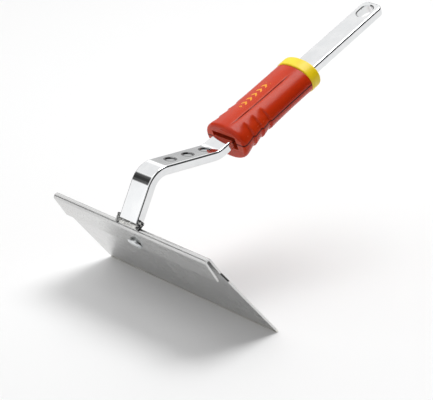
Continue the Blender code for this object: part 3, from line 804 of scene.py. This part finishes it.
SHELLS = ((1, "upper_grip_shell", "grip_upper_shell"), (-1, "lower_grip_shell", "grip_lower_shell"))
red_plastic = red_finish()
for side, name, node in SHELLS:
    half = shell(side, name)
    half.data.transform(tool_place)
    fit(half, node, red_plastic, crisp=38.0)


# ---- End ring -------------------------------------------------------------------------------
# Moulded yellow plastic ring pushed on behind the shells; its flat back stops a handle's socket.
RING_LENGTH = 0.0088
RING_HALF = (0.0153, 0.0106)
RING_ROUND = 0.0022
RING_FRONT_ROUND = RING_ROUND * 0.35
RING_AROUND = 160

ring_front = GRIP_END + GAP
ring_back = GRIP_END + RING_LENGTH


def ring_point(angle, y):
    """Point of the ring's skin at an angle round the section at y."""
    nose = 1.0 - min(1.0, (y - ring_front) / RING_FRONT_ROUND)
    tail = 1.0 - min(1.0, (ring_back - y) / RING_ROUND)
    inset = RING_FRONT_ROUND * (1.0 - math.sqrt(1.0 - nose * nose))
    inset += RING_ROUND * (1.0 - math.sqrt(1.0 - tail * tail))
    return oval_point(angle, *(size - inset for size in RING_HALF)) + Vector((0.0, y, MID))


def ring_stations():
    """Places of the skin's rings, which lie in the two rounded ends."""
    bends = [1.0 - math.cos(math.radians(9.0 * k)) for k in range(11)]
    return ([ring_front + RING_FRONT_ROUND * b for b in bends]
            + [ring_back - RING_ROUND * b for b in reversed(bends)])


def yellow_finish():
    yellow = Finish("yellow_plastic", IOR=1.5)
    spot = yellow.along(tool_place)
    grain = spot.grain(1700.0, detail=2.0)
    flow = spot.grain(120.0)
    yellow.feed(Base_Color=flow.ramp(0.3, 0.7).colour((0.95, 0.68, 0.004), (0.98, 0.75, 0.008)),
                Roughness=0.30 + 0.10 * flow + 0.06 * grain,
                Normal=grain.relief(0.00003))
    return yellow


ring = object_from(skin(ring_point, ring_stations(), RING_AROUND), "end_ring_moulding")
ring_side = BAR_WIDTH / 2 + GAP
carve(ring, block((-ring_side, 0.0, -BAR_THICK - GAP), (ring_side, GRIP_END * 2, GAP)))
ring.data.transform(tool_place)
fit(ring, "end_ring", yellow_finish(), crisp=38.0)


# ---- Floor, light and camera ----------------------------------------------------------------
# White floor, a soft overhead lamp a little behind the tool, and a sky of big soft cards with dark
# gaps between them, which the plating mirrors.  The camera itself sees the sky as plain white.
FLOOR_SIZE = 8.0
LAMP_WAY = Vector((-0.055, 0.29, 0.955))
LAMP_DISTANCE = 1.6
LAMP_WIDTH = 0.95
LAMP_POWER = 12.0
CARDS = (  # middle of the card, outer and inner half-angle in degrees, brightness
    ((-0.45, 0.12, 0.88), 46.0, 38.0, 0.86),
    ((-0.67, -0.69, 0.16), 18.0, 13.0, 0.95),
    ((-0.60, 0.75, 0.22), 34.0, 22.0, 0.42),
    ((-0.10, -0.75, 0.65), 46.0, 32.0, 0.75),
)
FLAG = ((-0.67, -0.556, 0.49), 16.0, 11.0, 0.92)  # the same for a black card, with its share of dark
SKY_LEVEL = 0.05
LEFT_FILL = 0.14
LEFT_FILL_EDGE = (-0.1, 0.5)
CAMERA_PLACE = (0.716032, -0.710633, 0.461419)
CAMERA_TURN = (math.radians(67.608), 0.0, math.radians(46.555))
LENS = 145.5
SENSOR_WIDTH = 36.0

flat = bmesh.new()
bmesh.ops.create_grid(flat, x_segments=1, y_segments=1, size=FLOOR_SIZE / 2)
floor = object_from(flat, "floor")
paper = Finish("white_floor", Roughness=0.9, Specular_IOR_Level=0.0)
tint = paper.along(Matrix.Identity(4)).grain(3.0)
paper.feed(Base_Color=tint.colour((0.90, 0.90, 0.90), (0.91, 0.91, 0.91)))
floor.data.materials.append(paper.material)

world = bpy.data.worlds.new("studio")
bpy.context.scene.world = world
world.use_nodes = True
sky = Wire(world.node_tree)
way = sky.node("ShaderNodeTexCoord", {}, {}, out="Generated")


def card(middle, outer, inner, level):
    """Round patch of the sky with a soft edge."""
    facing = way.dot(Vector(middle).normalized())
    return facing.ramp(math.cos(math.radians(outer)), math.cos(math.radians(inner)), 0.0, level)


glow = card(*CARDS[0])
for patch in CARDS[1:]:
    glow = glow + card(*patch)
glow = glow + SKY_LEVEL + LEFT_FILL * way.part("X").ramp(*LEFT_FILL_EDGE, 1.0, 0.0)
glow = glow * (1.0 - card(*FLAG))
seen = sky.node("ShaderNodeLightPath", {}, {}, out="Is Camera Ray")
backdrop = world.node_tree.nodes["Background"]
backdrop.inputs["Color"].default_value = (1.0, 1.0, 1.0, 1.0)
world.node_tree.links.new((seen * (1.0 - glow) + glow).socket, backdrop.inputs["Strength"])

lamp = bpy.data.lights.new("overhead", "AREA")
lamp.shape = "DISK"
lamp.size = LAMP_WIDTH
lamp.energy = LAMP_POWER
overhead = bpy.data.objects.new("overhead", lamp)
overhead.location = LAMP_WAY.normalized() * LAMP_DISTANCE
overhead.rotation_euler = LAMP_WAY.to_track_quat("Z", "Y").to_euler()
bpy.context.scene.collection.objects.link(overhead)

optics = bpy.data.cameras.new("camera")
optics.lens = LENS
optics.sensor_width = SENSOR_WIDTH
optics.sensor_fit = "HORIZONTAL"
camera = bpy.data.objects.new("camera", optics)
camera.location = CAMERA_PLACE
camera.rotation_euler = CAMERA_TURN
bpy.context.scene.collection.objects.link(camera)
bpy.context.scene.camera = camera
bpy.context.scene.view_settings.view_transform = "Standard"
